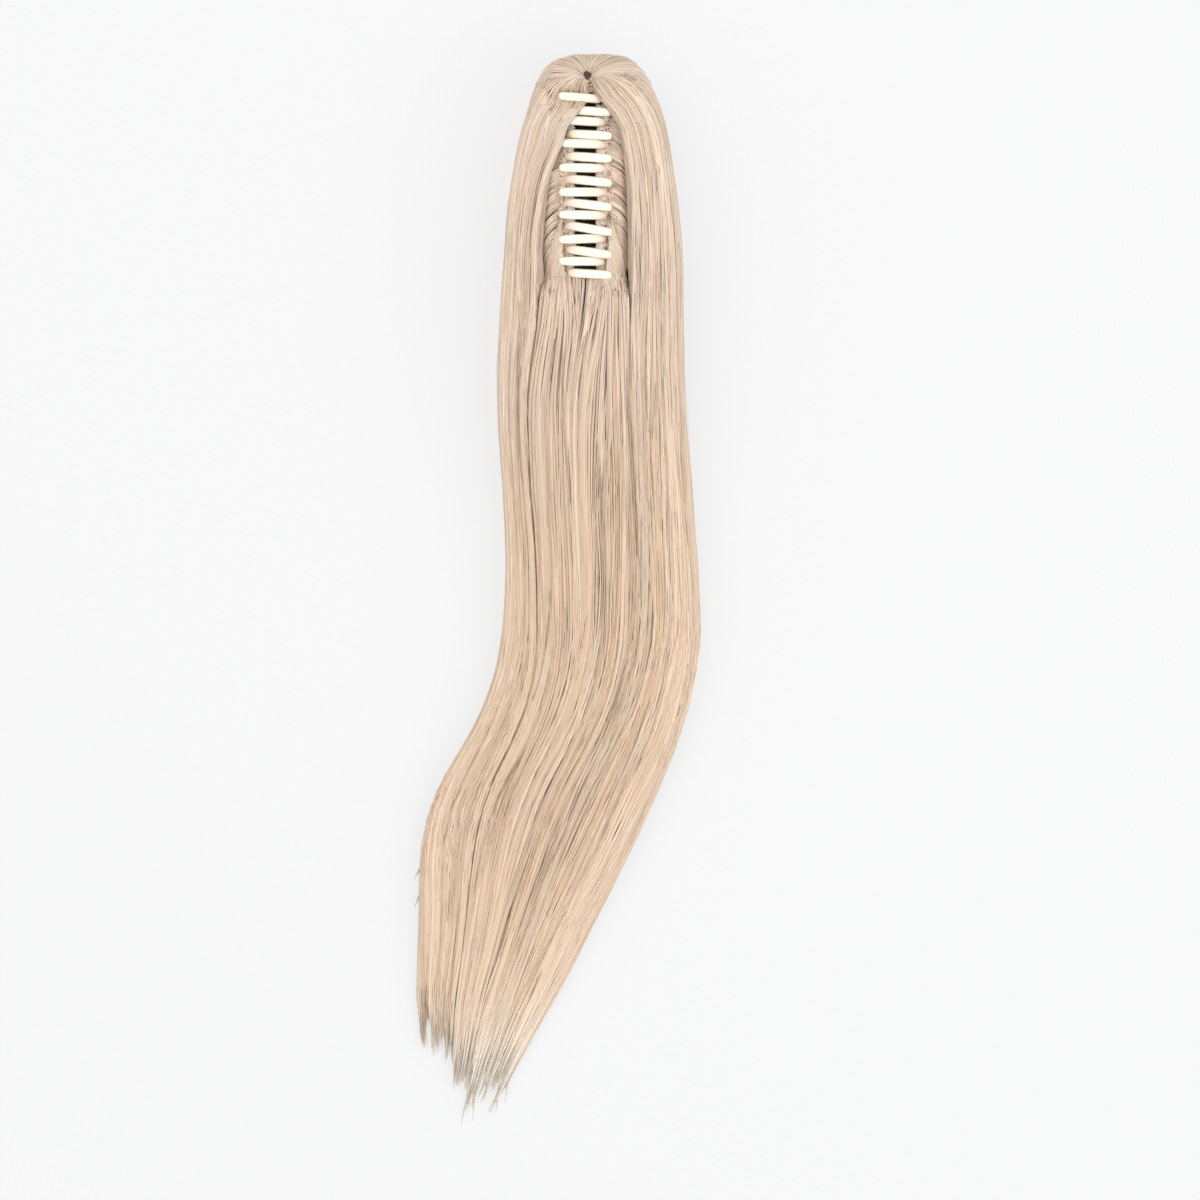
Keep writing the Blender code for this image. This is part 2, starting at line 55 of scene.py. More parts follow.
# The hair's flow: where its two outer strands run, how high it stands
FLOW = np.array([
    # y, left x, right x, lowest z, highest z
    (66.6, -5.0, 14.0, 24.0, 40.0),
    (64.6, -13.0, 21.5, 15.0, 47.0),
    (60.5, -19.6, 27.0, 6.0, 55.5),
    (55.0, -23.2, 31.2, 1.0, 60.5),
    (48.0, -26.6, 34.8, 0.0, 63.5),
    (38.8, -29.2, 38.4, 0.0, 65.2),
    (26.0, -33.1, 41.6, 0.0, 66.3),
    (10.0, -35.9, 44.0, 0.0, 66.8),
    (-8.0, -38.5, 46.2, 0.0, 66.8),
    (-28.0, -40.1, 48.2, 0.0, 66.3),
    (-50.0, -41.9, 49.0, 0.0, 64.0),
    (-70.0, -42.9, 49.2, 0.0, 60.5),
    (-95.0, -43.9, 49.4, 0.0, 54.5),
    (-122.0, -43.4, 51.0, 0.0, 47.5),
    (-150.0, -41.5, 53.3, 0.0, 41.0),
    (-178.0, -39.9, 55.2, 0.0, 35.5),
    (-204.0, -39.9, 57.2, 0.0, 31.5),
    (-230.0, -41.9, 57.8, 0.0, 28.5),
    (-248.0, -45.5, 55.4, 0.0, 26.8),
    (-266.0, -52.1, 51.4, 0.0, 25.2),
    (-284.0, -61.6, 45.6, 0.0, 23.6),
    (-302.0, -72.6, 38.2, 0.0, 22.0),
    (-322.0, -80.3, 29.4, 0.0, 20.2),
    (-346.0, -83.9, 18.2, 0.0, 18.0),
    (-370.0, -84.2, 5.6, 0.0, 15.4),
    (-392.0, -85.0, -5.0, 0.0, 12.6),
    (-412.0, -85.6, -16.0, 0.0, 10.0),
    (-430.0, -84.0, -26.0, 0.0, 8.0),
    (-450.0, -81.0, -37.0, 0.0, 6.0),
    (-475.0, -79.0, -50.0, 0.0, 4.0),
])[::-1]
SQUARENESS = 2.5
WIDEST_SHARE = 0.42

# Inner edges of the two side falls over the claw
LEFT_EDGE = np.array([
    # y, x
    (57.0, 1.0),
    (50.0, 1.8),
    (46.0, 2.6),
    (43.5, 1.4),
    (41.0, -1.4),
    (37.8, -4.4),
    (32.7, -9.0),
    (21.2, -11.8),
    (12.7, -16.6),
    (0.0, -20.9),
    (-15.7, -23.8),
    (-28.0, -25.3),
    (-48.0, -25.6),
])[::-1]
RIGHT_EDGE = np.array([
    # y, x
    (57.0, 1.6),
    (50.0, 2.2),
    (46.0, 4.2),
    (44.0, 7.4),
    (41.0, 10.8),
    (37.0, 14.4),
    (28.8, 18.9),
    (8.6, 23.3),
    (-15.0, 24.4),
    (-48.0, 24.6),
])[::-1]
# Below the claw, as shares of the hair's width
TAIL_EDGES = np.array([
    # y, left share, right share
    (-70.0, 0.185, 0.722),
    (-110.0, 0.14, 0.722),
    (-160.0, 0.13, 0.69),
    (-210.0, 0.15, 0.66),
    (-260.0, 0.19, 0.64),
    (-345.0, 0.25, 0.60),
    (-475.0, 0.30, 0.55),
])[::-1]
# Where strands end, across the hair
ENDS = np.array([
    # share of the width, y
    (0.0, -436.0),
    (0.06, -438.0),
    (0.12, -419.0),
    (0.18, -440.0),
    (0.25, -445.0),
    (0.37, -456.0),
    (0.47, -452.0),
    (0.56, -471.0),
    (0.64, -458.0),
    (0.71, -461.0),
    (0.78, -457.0),
    (0.85, -465.0),
    (1.0, -453.0),
])

# Shares of the tail's end that the left fall, the inner tail and the right fall take
LEFT_PART = 0.29
INNER_PART = 0.26
RIGHT_PART = 0.45

# The whorl, where strands leave the crown, and the claw's hinge and half length
WHORL = (1.2, 55.8)
HINGE_Z = 36.0
CLAW_HALF = 47.0

# Sides of a strand's tube, and the way up from the table
SIDES = 3
UP = np.array([0.0, 0.0, 1.0])

# Colours of the hair and its thread, in linear light
ASH = np.array([0.76, 0.59, 0.47])
GOLD = np.array([0.86, 0.66, 0.46])
PALE = np.array([0.96, 0.83, 0.69])
MAUVE = np.array([0.66, 0.52, 0.45])
# BROWN is the colour of painted shade on strands, and of some thread ends at the whorl
BROWN = np.array([0.24, 0.14, 0.09])
END_TINT = np.array([1.0, 0.83, 0.66])
TIP_TINT = np.array([1.0, 0.92, 0.79])
TAIL_LOSS = np.array([0.03, 0.07, 0.13])
PEACH = np.array([0.93, 0.66, 0.52])
PALE_PEACH = np.array([0.98, 0.76, 0.64])
KNOT = np.array([0.22, 0.11, 0.07])

# Dark and golden lines between locks, as photographed; their darkness is painted shade of the partings,
# laid on as strands
PARTINGS = [
    # x, upper y, lower y, strands, painted shade
    (23.6, -93.0, -189.0, 3, 0.55),
    (-34.2, -57.5, -148.8, 3, 0.55),
    (-10.4, -83.0, -160.0, 2, 0.4),
    (32.7, -90.0, -180.0, 2, 0.4),
    (12.9, -250.0, -286.0, 2, 0.6),
    (-38.8, -288.0, -312.0, 2, 0.6),
    (-52.2, -310.0, -360.0, 2, 0.55),
    (-22.8, -325.0, -385.0, 2, 0.55),
    (-29.2, -398.0, -428.0, 2, 0.55),
    (8.0, -120.0, -190.0, 2, 0.35),
    (-20.0, -205.0, -262.0, 2, 0.35),
]

# Loose pointed locks at the tail's edge and end
WISPS = [
    # root x, root y, tip x, tip y, half width at the root, strands
    (-60.0, -288.0, -87.2, -352.0, 3.0, 44),
    (-66.0, -306.0, -87.0, -366.0, 3.0, 40),
    (-79.0, -380.0, -82.4, -437.0, 2.6, 34),
    (-69.0, -388.0, -71.0, -445.0, 2.6, 34),
    (-62.0, -390.0, -64.4, -457.0, 2.6, 34),
    (-54.0, -392.0, -57.4, -475.0, 2.6, 40),
    (-48.0, -396.0, -51.0, -463.0, 2.4, 30),
    (-40.0, -396.0, -45.6, -470.0, 2.4, 36),
    (-33.0, -392.0, -41.0, -466.0, 2.4, 30),
]

# The hollow that the jaws swing in
HOLLOW = np.array([
    # distance from the claw's middle along it, radius
    (0.0, 30.2),
    (20.0, 30.2),
    (33.0, 28.9),
    (39.0, 27.5),
    (45.0, 25.7),
    (48.5, 24.8),
])
HOLLOW_END = 48.6

# The sixteen teeth as photographed; odd ones root on the right jaw, even ones on the left
TEETH = [
    # y of the solid's tooth, y in the photograph, degrees that it falls to the right
    (44.4, 44.5, 4.0),
    (37.9, 37.8, 2.5),
    (32.62, 32.7, 3.0),
    (26.12, 25.8, 2.5),
    (20.84, 21.2, 2.0),
    (14.34, 14.4, 3.0),
    (9.06, 9.0, 1.0),
    (2.56, 2.6, 5.0),
    (-2.72, -3.2, 0.0),
    (-9.22, -9.5, 6.0),
    (-14.5, -14.8, 1.0),
    (-21.0, -21.5, 9.0),
    (-26.28, -26.8, -2.0),
    (-32.78, -33.3, 7.5),
    (-38.06, -38.1, 0.0),
    (-44.56, -44.5, 3.0),
]

# Camera: what the photograph's frame spans, its middle and the height where it spans that
FRAME_WIDTH = 608.4
FRAME_MIDDLE = (7.35, -209.6)
FRAME_Z = 30.0
LENS = 900.0
SENSOR = 36.0

# Table and lamps, in metres and watts
FLOOR_HALF = 20.0
FLOOR_GLOW = 0.69
LAMPS_AIM = (0, -0.15, 0)
LAMPS = [
    # name, place, width, power, tint
    ("key", (-0.7, 0.5, 1.9), 1.2, 10.5, (1.0, 0.98, 0.96)),
    ("fill", (1.1, -0.4, 1.6), 1.6, 12.0, (0.97, 0.98, 1.0)),
]


def metres(points):
    return np.asarray(points, float) / 1000


def smooth_rows(table, step=1.0):
    """A table of sections, read at even steps along smooth curves through its rows."""
    rows = table[:, 0]
    at = np.arange(rows[0], rows[-1] + step / 2, step)
    k = np.clip(np.searchsorted(rows, at, "right") - 1, 0, len(rows) - 2)
    span = rows[k + 1] - rows[k]
    t = (at - rows[k]) / span
    found = [at]
    for c in range(1, table.shape[1]):
        line = table[:, c]
        slope = np.empty_like(line)
        slope[1:-1] = (line[2:] - line[:-2]) / (rows[2:] - rows[:-2])
        slope[0] = (line[1] - line[0]) / (rows[1] - rows[0])
        slope[-1] = (line[-1] - line[-2]) / (rows[-1] - rows[-2])
        a = (2 * t**3 - 3 * t**2 + 1) * line[k] + (3 * t**2 - 2 * t**3) * line[k + 1]
        b = (t**3 - 2 * t**2 + t) * span * slope[k] + (t**3 - t**2) * span * slope[k + 1]
        found.append(a + b)
    return np.stack(found, 1)


FINE = smooth_rows(FLOW)


def flow(y):
    """Left, right, lowest and highest of the hair at y, each shaped like y."""
    return [np.interp(y, FINE[:, 0], FINE[:, c]) for c in (1, 2, 3, 4)]


def smooth(t):
    t = np.clip(t, 0, 1)
    return t * t * (3 - 2 * t)


def unit(v):
    return v / np.linalg.norm(v, axis=-1, keepdims=True)


def shares_along(steps):
    """Even shares of a strand's travel, for all the strands at once."""
    return np.linspace(0, 1, steps)[None]


def section(y):
    """Middle, half width, lowest, widest and highest place of the hair at y."""
    left, right, low, high = flow(y)
    widest = low + (high - low) * WIDEST_SHARE
    return (left + right) / 2, (right - left) / 2, low, widest, high


def off_middle(y, x):
    """How far x lies from the hair's middle at y: 0 there, and 1 at its side."""
    left, right, _, _ = flow(y)
    return np.abs(2 * (x - left) / (right - left) - 1)


def angle_at(v):
    """The angle round the section, from its right side over the top, of -1 to 1 across it."""
    v = np.clip(v, -1, 1)
    return np.arccos(np.sign(v) * np.abs(v) ** (SQUARENESS / 2))


def angle_of(y, x):
    middle, half, _, _, _ = section(y)
    return angle_at((x - middle) / half)


def angle_of_share(share):
    return angle_at(2 * share - 1)


def dent(x, y):
    """How far the hair is pressed down where the first tooth lies on it."""
    along = np.exp(-(((y - 45.6) / 4.4) ** 2)) * smooth((y - 38.9) / 2.6)
    return 6.8 * along * smooth((x + 26) / 11) * smooth((6.5 - x) / 4)


def surface(y, angle, inset):
    """Points of the hair's form at y and an angle round it, some way below its surface."""
    middle, half, low, widest, high = section(y)
    c, s = np.cos(angle), np.sin(angle)
    power = 2 / SQUARENESS
    x = middle + np.maximum(half - inset, 0.3) * np.sign(c) * np.abs(c) ** power
    above = np.maximum(high - widest - inset, 0.2) * np.abs(s) ** power
    below = np.maximum(widest - low + 5.0 * (low < 1) - inset, 0.2) * np.abs(s) ** power
    z = np.where(s >= 0, widest + above, np.maximum(widest - below, low + inset))
    z = z - dent(x, y) * (s >= 0)
    return np.stack([x, y, z], -1)


def outward(y, angle):
    """The direction out of the hair's form, near enough to lay a strand's flat side on."""
    _, half, low, _, high = section(y)
    tall = (high - low) / 2
    c, s = np.cos(angle), np.sin(angle)
    power = 2 - 2 / SQUARENESS
    x = np.sign(c) * np.abs(c) ** power / half
    z = np.sign(s) * np.abs(s) ** power / tall
    return unit(np.stack([x, np.zeros_like(c), z], -1) + 1e-9)


def hollow_radius(y):
    return np.interp(np.abs(y), HOLLOW[:, 0], HOLLOW[:, 1])


def kept_out(path):
    """Moves points that lie in the jaws' hollow out to its wall."""
    x, y, z = path[..., 0], path[..., 1], path[..., 2]
    least = hollow_radius(y) + 1.0 - 1.4 * dent(x, y)
    from_hinge = np.hypot(x, z - HINGE_Z)
    inside = (np.abs(y) < HOLLOW_END) & (from_hinge < least) & (z > HINGE_Z - 22.0)
    grow = np.where(inside, least / np.maximum(from_hinge, 1.0), 1.0)
    return np.stack([x * grow, y, HINGE_Z + (z - HINGE_Z) * grow], -1)


def edge_angles(y):
    """The angles of the left and the right fall's inner edges."""
    over_left = angle_of(y, np.interp(y, LEFT_EDGE[:, 0], LEFT_EDGE[:, 1]))
    over_right = angle_of(y, np.interp(y, RIGHT_EDGE[:, 0], RIGHT_EDGE[:, 1]))
    share_left = np.interp(y, TAIL_EDGES[:, 0], TAIL_EDGES[:, 1])
    share_right = np.interp(y, TAIL_EDGES[:, 0], TAIL_EDGES[:, 2])
    k = smooth((-y - 46) / 26)
    left = over_left * (1 - k) + angle_of_share(share_left) * k
    right = over_right * (1 - k) + angle_of_share(share_right) * k
    return left, right


def wave(count, y, length):
    """A slow wave along y for each of count strands, between -1 and 1."""
    phase = rng.uniform(0, 2 * np.pi, (3, count, 1))
    found = 0
    for k, size in enumerate((0.55, 0.3, 0.15)):
        found = found + size * np.sin(2 * np.pi * y / (length / (1 + 0.8 * k)) + phase[k])
    return found


def tinted(colour, y):
    """Colours of hair, yellower down the tail and paler at the loose tips."""
    down = smooth((-y - 60) / 130) * smooth((y + 450) / 60)
    tip = 0.8 * smooth((-y - 416) / 36)
    return colour * (1 - down * TAIL_LOSS) * (1 - tip) + TIP_TINT * tip


def set_tone(data, colours):
    tone = data.color_attributes.new("tone", "FLOAT_COLOR", "POINT")
    rgba = np.concatenate([colours, np.ones((len(colours), 1))], 1)
    tone.data.foreach_set("color", rgba.astype(np.float32).ravel())


def in_scene(name, data):
    """An object of this data, put into the scene."""
    obj = bpy.data.objects.new(name, data)
    bpy.context.scene.collection.objects.link(obj)
    return obj


def made_from(shape, name, look):
    """An object made from a shape that is ready, with smooth faces."""
    data = bpy.data.meshes.new(name)
    shape.to_mesh(data)
    shape.free()
    data.polygons.foreach_set("use_smooth", np.ones(len(data.polygons), bool))
    data.materials.append(look)
    return in_scene(name, data)


def placed(obj, body):
    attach(obj, body)
    return obj


class Tufts:
    """Strands gathered for one piece: closed thin tubes with a colour along each."""

    def __init__(self):
        self.points = []
        self.quads = []
        self.caps = []
        self.colours = []
        self.uvs = []
        self.count = 0

    def add(self, path, radius, normal, colour, flat=0.8):
        """path, normal and colour are strands x steps x 3, and radius is strands x steps."""
        n, m, _ = path.shape
        ahead = np.gradient(path, axis=1)
        ahead /= np.linalg.norm(ahead, axis=-1, keepdims=True) + 1e-12
        aside = np.cross(ahead, normal)
        aside /= np.linalg.norm(aside, axis=-1, keepdims=True) + 1e-12
        up = np.cross(aside, ahead)
        turns = np.pi / 2 + 2 * np.pi * np.arange(SIDES) / SIDES
        ring = (aside[:, :, None] * np.cos(turns)[None, None, :, None]
                + up[:, :, None] * (flat * np.sin(turns))[None, None, :, None])
        points = path[:, :, None] + ring * radius[:, :, None, None]
        self.points.append(points.reshape(-1, 3))
        base = self.count + np.arange(n)[:, None, None] * m * SIDES
        here = base + np.arange(m - 1)[None, :, None] * SIDES
        k = np.arange(SIDES)
        after = (k + 1) % SIDES
        quads = np.stack([here + k, here + after, here + SIDES + after, here + SIDES + k], -1)
        self.quads.append(quads.reshape(-1, 4))
        self.caps.append(np.concatenate([base[:, 0] + k[::-1], base[:, 0] + (m - 1) * SIDES + k]))
        colour = tinted(colour, path[..., 1:2])
        self.colours.append(np.repeat(colour.reshape(-1, 3), SIDES, axis=0))
        gone = np.cumsum(np.linalg.norm(np.diff(path, axis=1), axis=-1), 1)
        length = np.concatenate([np.zeros((n, 1)), gone], 1)
        u = rng.uniform(0, 40, (n, 1, 1)) + k / SIDES * np.ones((1, m, 1))
        v = np.broadcast_to(length[:, :, None] / 100, u.shape)
        self.uvs.append(np.stack([u, v], -1).reshape(-1, 2))
        self.count += n * m * SIDES

    def piece(self, name, look):
        """One object of all the strands gathered."""
        points = np.concatenate(self.points)
        faces = [np.concatenate(self.quads)] + self.caps
        loops = np.concatenate([part.ravel() for part in faces]).astype(np.int32)
        sizes = np.concatenate([np.full(len(part), part.shape[1]) for part in faces])
        starts = (np.cumsum(sizes) - sizes).astype(np.int32)
        data = bpy.data.meshes.new(name)
        data.vertices.add(len(points))
        data.vertices.foreach_set("co", metres(points).astype(np.float32).ravel())
        data.loops.add(len(loops))
        data.loops.foreach_set("vertex_index", loops)
        data.polygons.add(len(starts))
        data.polygons.foreach_set("loop_start", starts)
        data.polygons.foreach_set("use_smooth", np.ones(len(starts), bool))
        data.update(calc_edges=True)
        set_tone(data, np.concatenate(self.colours))
        uv = data.uv_layers.new(name="strand")
        uv.data.foreach_set("uv", np.concatenate(self.uvs)[loops].astype(np.float32).ravel())
        data.materials.append(look)
        return in_scene(name, data)


def lower_at_ends(y, share):
    """How a height over the hinge falls towards the claw's two ends, where share of it is lost."""
    return 1 - share * np.abs(y / CLAW_HALF) ** 2.4


def lock_width(y, lock_end):
    """The share of its width that a lock still has, as it comes to a point."""
    return np.clip((y - lock_end[:, None]) / 46, 0, 1) ** 0.65


def strand_radius(radius, count, t):
    """Radii that differ from strand to strand and get less towards the ends."""
    return radius * rng.uniform(0.65, 1.35, (count, 1)) * (1 - 0.35 * smooth((t - 0.88) / 0.12))


def turning(count, t, least, most):
    """Angles along loops of thread that start anywhere and turn by least to most."""
    return rng.uniform(0, 2 * np.pi, (count, 1)) + t * rng.uniform(least, most, (count, 1))


def strand_colours(count, steps, lock_tone, ends=None, dark=0.0):
    """Each strand's own shade, with its lock's, and paler towards its end; dark mixes it towards brown as
    painted shade.
    """
    pick = rng.uniform(0, 1, count)
    shade = np.where((pick < 0.36)[:, None], ASH, GOLD)
    shade = np.where((pick > 0.62)[:, None], PALE, shade)
    shade = np.where((pick > 0.86)[:, None], MAUVE, shade)
    own = 0.95 + 0.09 * rng.normal(size=(count, 1))
    mix = rng.uniform(0.15, 0.85, (count, 1))
    body = (ASH * 0.5 + GOLD * 0.3 + PALE * 0.2)[None]
    base = (body * (1 - mix) + shade * mix) * own * lock_tone[:, None]
    colour = np.repeat(base[:, None], steps, 1)
    if ends is not None:
        k = smooth(ends)[..., None] * 0.35
        colour = colour * (1 - k) + END_TINT * k
    # Painted shade: dark mixes the colour towards brown
    if np.any(dark):
        k = np.clip(dark, 0, 1)[..., None]
        colour = colour * (1 - k) + BROWN * k
    return np.clip(colour, 0.01, 1.0)


def lock_groove(q, depth):
    """How far strands lie below their lock's top; q is -1 to 1 across the lock."""
    return depth * np.abs(q) ** 2.2


def tail_ends(share, lock, locks, longest_cut):
    """Where locks end, and where each of their strands does: some are cut short."""
    lock_end = np.interp(share, ENDS[:, 0], ENDS[:, 1]) + rng.normal(0, 5, locks)[lock]
    n = len(lock)
    short = rng.uniform(0, 1, n) < 0.14
    return lock_end, lock_end + np.abs(rng.normal(0, 15, n)) + short * rng.uniform(30, longest_cut, n)


def fall_y(p, d, end):
    """y along strands that bend over the crown, rising first, and run down to their ends."""
    slow = 2.5 + 26.0 * p ** 1.3
    rise = 5.0 * np.minimum(p, 1.0) ** 2 + 8.0 * np.maximum(p - 1.0, 0)
    y = WHORL[1] + rise * np.sin(np.pi * np.clip(d / 34, 0, 1)) - (d - slow * (1 - np.exp(-d / slow)))
    scale = (WHORL[1] - end) / (WHORL[1] - y[:, -1:])
    y = WHORL[1] + (y - WHORL[1]) * np.where(d > 60, 1 + (scale - 1) * smooth((d - 60) / 120), 1)
    return np.clip(y, end - 2, 66.4)


def fall_strands(tufts, side, locks, per_lock, steps, depth=(0.0, 2.2), across=(0.0, 1.0),
                 groove=1.6, stop=None, radius=0.42):
    """Hair that leaves the whorl, runs over the crown and down one side to the ends.

    Across a fall, 0 is its inner edge and 1 its outer one; more than 1 lies under the hair.
    """
    pitch = (across[1] - across[0]) / locks
    n = locks * per_lock
    lock = np.repeat(np.arange(locks), per_lock)
    q = rng.uniform(-1, 1, n)
    lock_tone = 1 + 0.05 * rng.normal(size=locks)
    lift = rng.uniform(-0.3, 0.7, locks)
    own_depth = rng.uniform(depth[0], depth[1], n)
    centre = across[0] + (across[1] - across[0]) * (np.arange(locks) + 0.5) / locks
    p = centre[lock]
    share = LEFT_PART * (1 - p) if side < 0 else 1 - RIGHT_PART * (1 - p)
    lock_end, end = tail_ends(np.clip(share, 0, 1), lock, locks, 190)
    if stop is not None:
        end = stop + rng.normal(0, 4, n)
    p, end = p[:, None], end[:, None]
    travel = WHORL[1] - end
    d = shares_along(steps) ** 1.65 * travel + 1.2
    y = fall_y(p, d, end)
    left, right = edge_angles(y)
    edge = left if side < 0 else right
    under = 0.09 * np.pi * (1 - smooth((-y - 320) / 80))
    outer = np.pi + under if side < 0 else -under
    spread = pitch * 0.62 * (0.25 + 0.75 * lock_width(y, lock_end)) * (1 + 0.25 * wave(n, y, 160.0))
    at = p + spread * q[:, None] + 0.02 * wave(locks, y.mean(0)[None].repeat(locks, 0), 210.0)[lock]
    roll = np.maximum(-at, 0)
    full = edge + (outer - edge) * np.maximum(at, 0)
    whorl_angle = angle_of(np.full(1, WHORL[1]), WHORL[0])
    reach = 5.0 + 13.0 * p
    angle = whorl_angle + (full - whorl_angle) * (1 - np.exp(-((d / reach) ** 1.25)))
    deep = own_depth[:, None] + lock_groove(q, groove)[:, None] * (1 - 0.7 * smooth((-y - 40) / 90))
    inset = deep * (0.7 + 0.3 * wave(n, y, 120.0)) - lift[lock][:, None] * smooth((40 - y) / 60)
    inset = inset + 26.0 * roll + 1.4 * np.exp(-((d / 2.2) ** 2))
    path = surface(y, angle, np.maximum(inset, -0.9))
    path[..., 0] += 0.3 * wave(n, y, 70.0) * smooth((40 - y) / 40)
    t = np.clip((WHORL[1] - y) / travel, 0, 1)
    r = strand_radius(radius, n, t) * (0.55 + 0.45 * smooth(d / 30))
    r[:, -1] *= 0.3
    path = kept_out(path)
    path[..., 2] = np.maximum(path[..., 2], r + 0.05)
    # Painted shade: darker for strands deep in a lock and where they dive into the whorl's hollow
    dark = 0.16 * smooth((deep - 1.4) / 2.0) + 0.75 * np.exp(-((d / 2.4) ** 2))
    colour = strand_colours(n, steps, lock_tone[lock], np.clip((t - 0.76) / 0.24, 0, 1), dark)
    tufts.add(path, r, outward(y, angle), colour)


def inner_tail(tufts, side, locks=11, per_lock=50, steps=36, radius=0.42):
    """Half of the inner tail: it leaves one jaw's edge and fans out between the falls."""
    n = locks * per_lock
    lock = np.repeat(np.arange(locks), per_lock)
    q = rng.uniform(-1, 1, n)
    from_side = (lock + 0.5 + 0.62 * q) / locks
    centre = 0.52 if side < 0 else 0.48
    at0 = centre * from_side if side < 0 else 1 - centre * from_side
    middle0 = (lock + 0.5) / locks
    mid = (centre * middle0 if side < 0 else 1 - centre * middle0)[:, None]
    root_y = -16.0 - 30.5 * np.clip(from_side, 0, 1) ** 0.8 + rng.normal(0, 1.6, n)
    root_y = np.clip(root_y, -46.4, None)
    to_middle = smooth((-root_y - 41.5) / 5.0)
    root_x = side * (11.6 + rng.uniform(-0.8, 0.8, n)) * (1 - to_middle * rng.uniform(0.0, 1.0, n) ** 0.5)
    root_above = 24.3 * lower_at_ends(root_y, 0.19) + rng.uniform(-0.6, 0.8, n) + 2.6 * to_middle
    lock_end, end = tail_ends(LEFT_PART + INNER_PART * at0, lock, locks, 170)
    t = shares_along(steps) ** 1.6
    y = root_y[:, None] + (end - root_y)[:, None] * t
    left, right = edge_angles(y)
    at = mid + (at0[:, None] - mid) * (0.3 + 0.7 * lock_width(y, lock_end)) * (1 + 0.3 * wave(n, y, 150.0))
    at = at + 0.02 * wave(locks, y.mean(0)[None].repeat(locks, 0), 190.0)[lock]
    angle = left + (right - left) * np.clip(at, -0.02, 1.02)
    lift = rng.uniform(-0.4, 0.7, locks)[lock][:, None]
    inset = rng.uniform(0.2, 2.4, n)[:, None] - lift
    inset = inset + lock_groove(q, 1.6)[:, None] * (1 - 0.7 * smooth((-y - 60) / 60))
    beside_fall = (1 - smooth(from_side / 0.11))[:, None] * smooth((-y - 60) / 30)
    inset = inset + 1.3 * beside_fall
    inset = inset + 1.8 * np.abs(q[:, None]) ** 3 * np.exp(-(root_y[:, None] - y) / 30)
    path = surface(y, angle, np.maximum(inset, -0.7))
    gone = root_y[:, None] - y
    out = 1 - np.exp(-((gone / 24.0) ** 1.15))
    up = smooth(gone / (root_y[:, None] + 66.0))
    path[..., 0] = root_x[:, None] + (path[..., 0] - root_x[:, None]) * out
    arch = 3.4 * np.sin(np.pi * np.clip(gone / 34.0, 0, 1))
    root_z = HINGE_Z + root_above[:, None]
    path[..., 2] = root_z + (path[..., 2] - root_z) * up + arch * (1 - up)
    most = hollow_radius(y) - 0.7 - inset * 0.3 + 0.9 * np.maximum(-47.6 - y, 0) ** 1.15
    highest = HINGE_Z + np.sqrt(np.maximum(most ** 2 - path[..., 0] ** 2, 36.0))
    path[..., 2] = np.minimum(path[..., 2], highest)
    r = strand_radius(radius, n, t)
    r[:, -1] *= 0.3
    path[..., 2] = np.maximum(path[..., 2], r + 0.05)
    # Painted shade: darker just below the last teeth, at the edges of locks, on deeper strands and beside
    # the falls
    crack_shade = np.abs(q[:, None]) ** 3 * np.exp(-gone / 26.0)
    dark = 0.12 * np.exp(-gone / 3.0) + 0.8 * crack_shade + 0.14 * smooth((inset - 2.0) / 2.0) + 0.3 * beside_fall
    tone = 1 + 0.04 * rng.normal(size=locks)
    colour = strand_colours(n, steps, tone[lock], np.clip((t - 0.74) / 0.26, 0, 1) * np.ones((n, 1)), dark)
    tufts.add(path, r, outward(y, angle), colour)


def cap_y(x, z):
    """How far the hair's form reaches towards the crown's end at a place across it."""
    near, far = np.full(x.shape, 42.0), np.full(x.shape, 66.5)
    for _ in range(14):
        y = (near + far) / 2
        _, _, low, widest, high = section(y)
        tall = np.where(z > widest, high - widest, widest - low + 5.0 * (low < 1))
        inside = off_middle(y, x) ** SQUARENESS + np.abs((z - widest) / tall) ** SQUARENESS < 1
        near, far = np.where(inside, y, near), np.where(inside, far, y)
    return near


def crown_back(tufts, count=860, steps=15, radius=0.42):
    """Strands from the whorl over the crown's end and down it."""
    t = shares_along(steps)
    turn = rng.uniform(-0.14, 1.14, count)[:, None] * np.pi
    foot_x, foot_z = 4.0 + 29.0 * np.cos(turn), 26.0 - 25.2 * np.sin(turn)
    over_x = WHORL[0] + 0.85 * (foot_x - WHORL[0])
    over_z = 57.5 - 18.0 * np.maximum(np.sin(turn), 0)
    first, second, third = (1 - t) ** 2, 2 * t * (1 - t), t ** 2
    x = first * WHORL[0] + second * over_x + third * foot_x
    z = first * 60.3 + second * over_z + third * foot_z
    x = x + 0.35 * wave(count, 60 * t, 50.0) * t
    inset = rng.uniform(0, 1.8, (count, 1)) + 1.2 * np.exp(-((t / 0.06) ** 2)) - 0.4
    y = cap_y(x, z) - inset
    r = radius * rng.uniform(0.6, 1.3, (count, 1)) * (0.5 + 0.5 * smooth(t / 0.3))
    path = np.stack([x, y, np.maximum(z, r + 0.05)], -1)
    normal = unit(np.stack([x - 4.0, np.full_like(x, 24.0), z - 28.0], -1))
    # Painted shade: darker where strands leave the whorl's hollow and on deeper strands
    dark = 0.75 * np.exp(-((t / 0.06) ** 2)) + 0.14 * smooth((inset - 0.9) / 1.0)
    tufts.add(path, r, normal, strand_colours(count, steps, np.ones(count), None, dark))


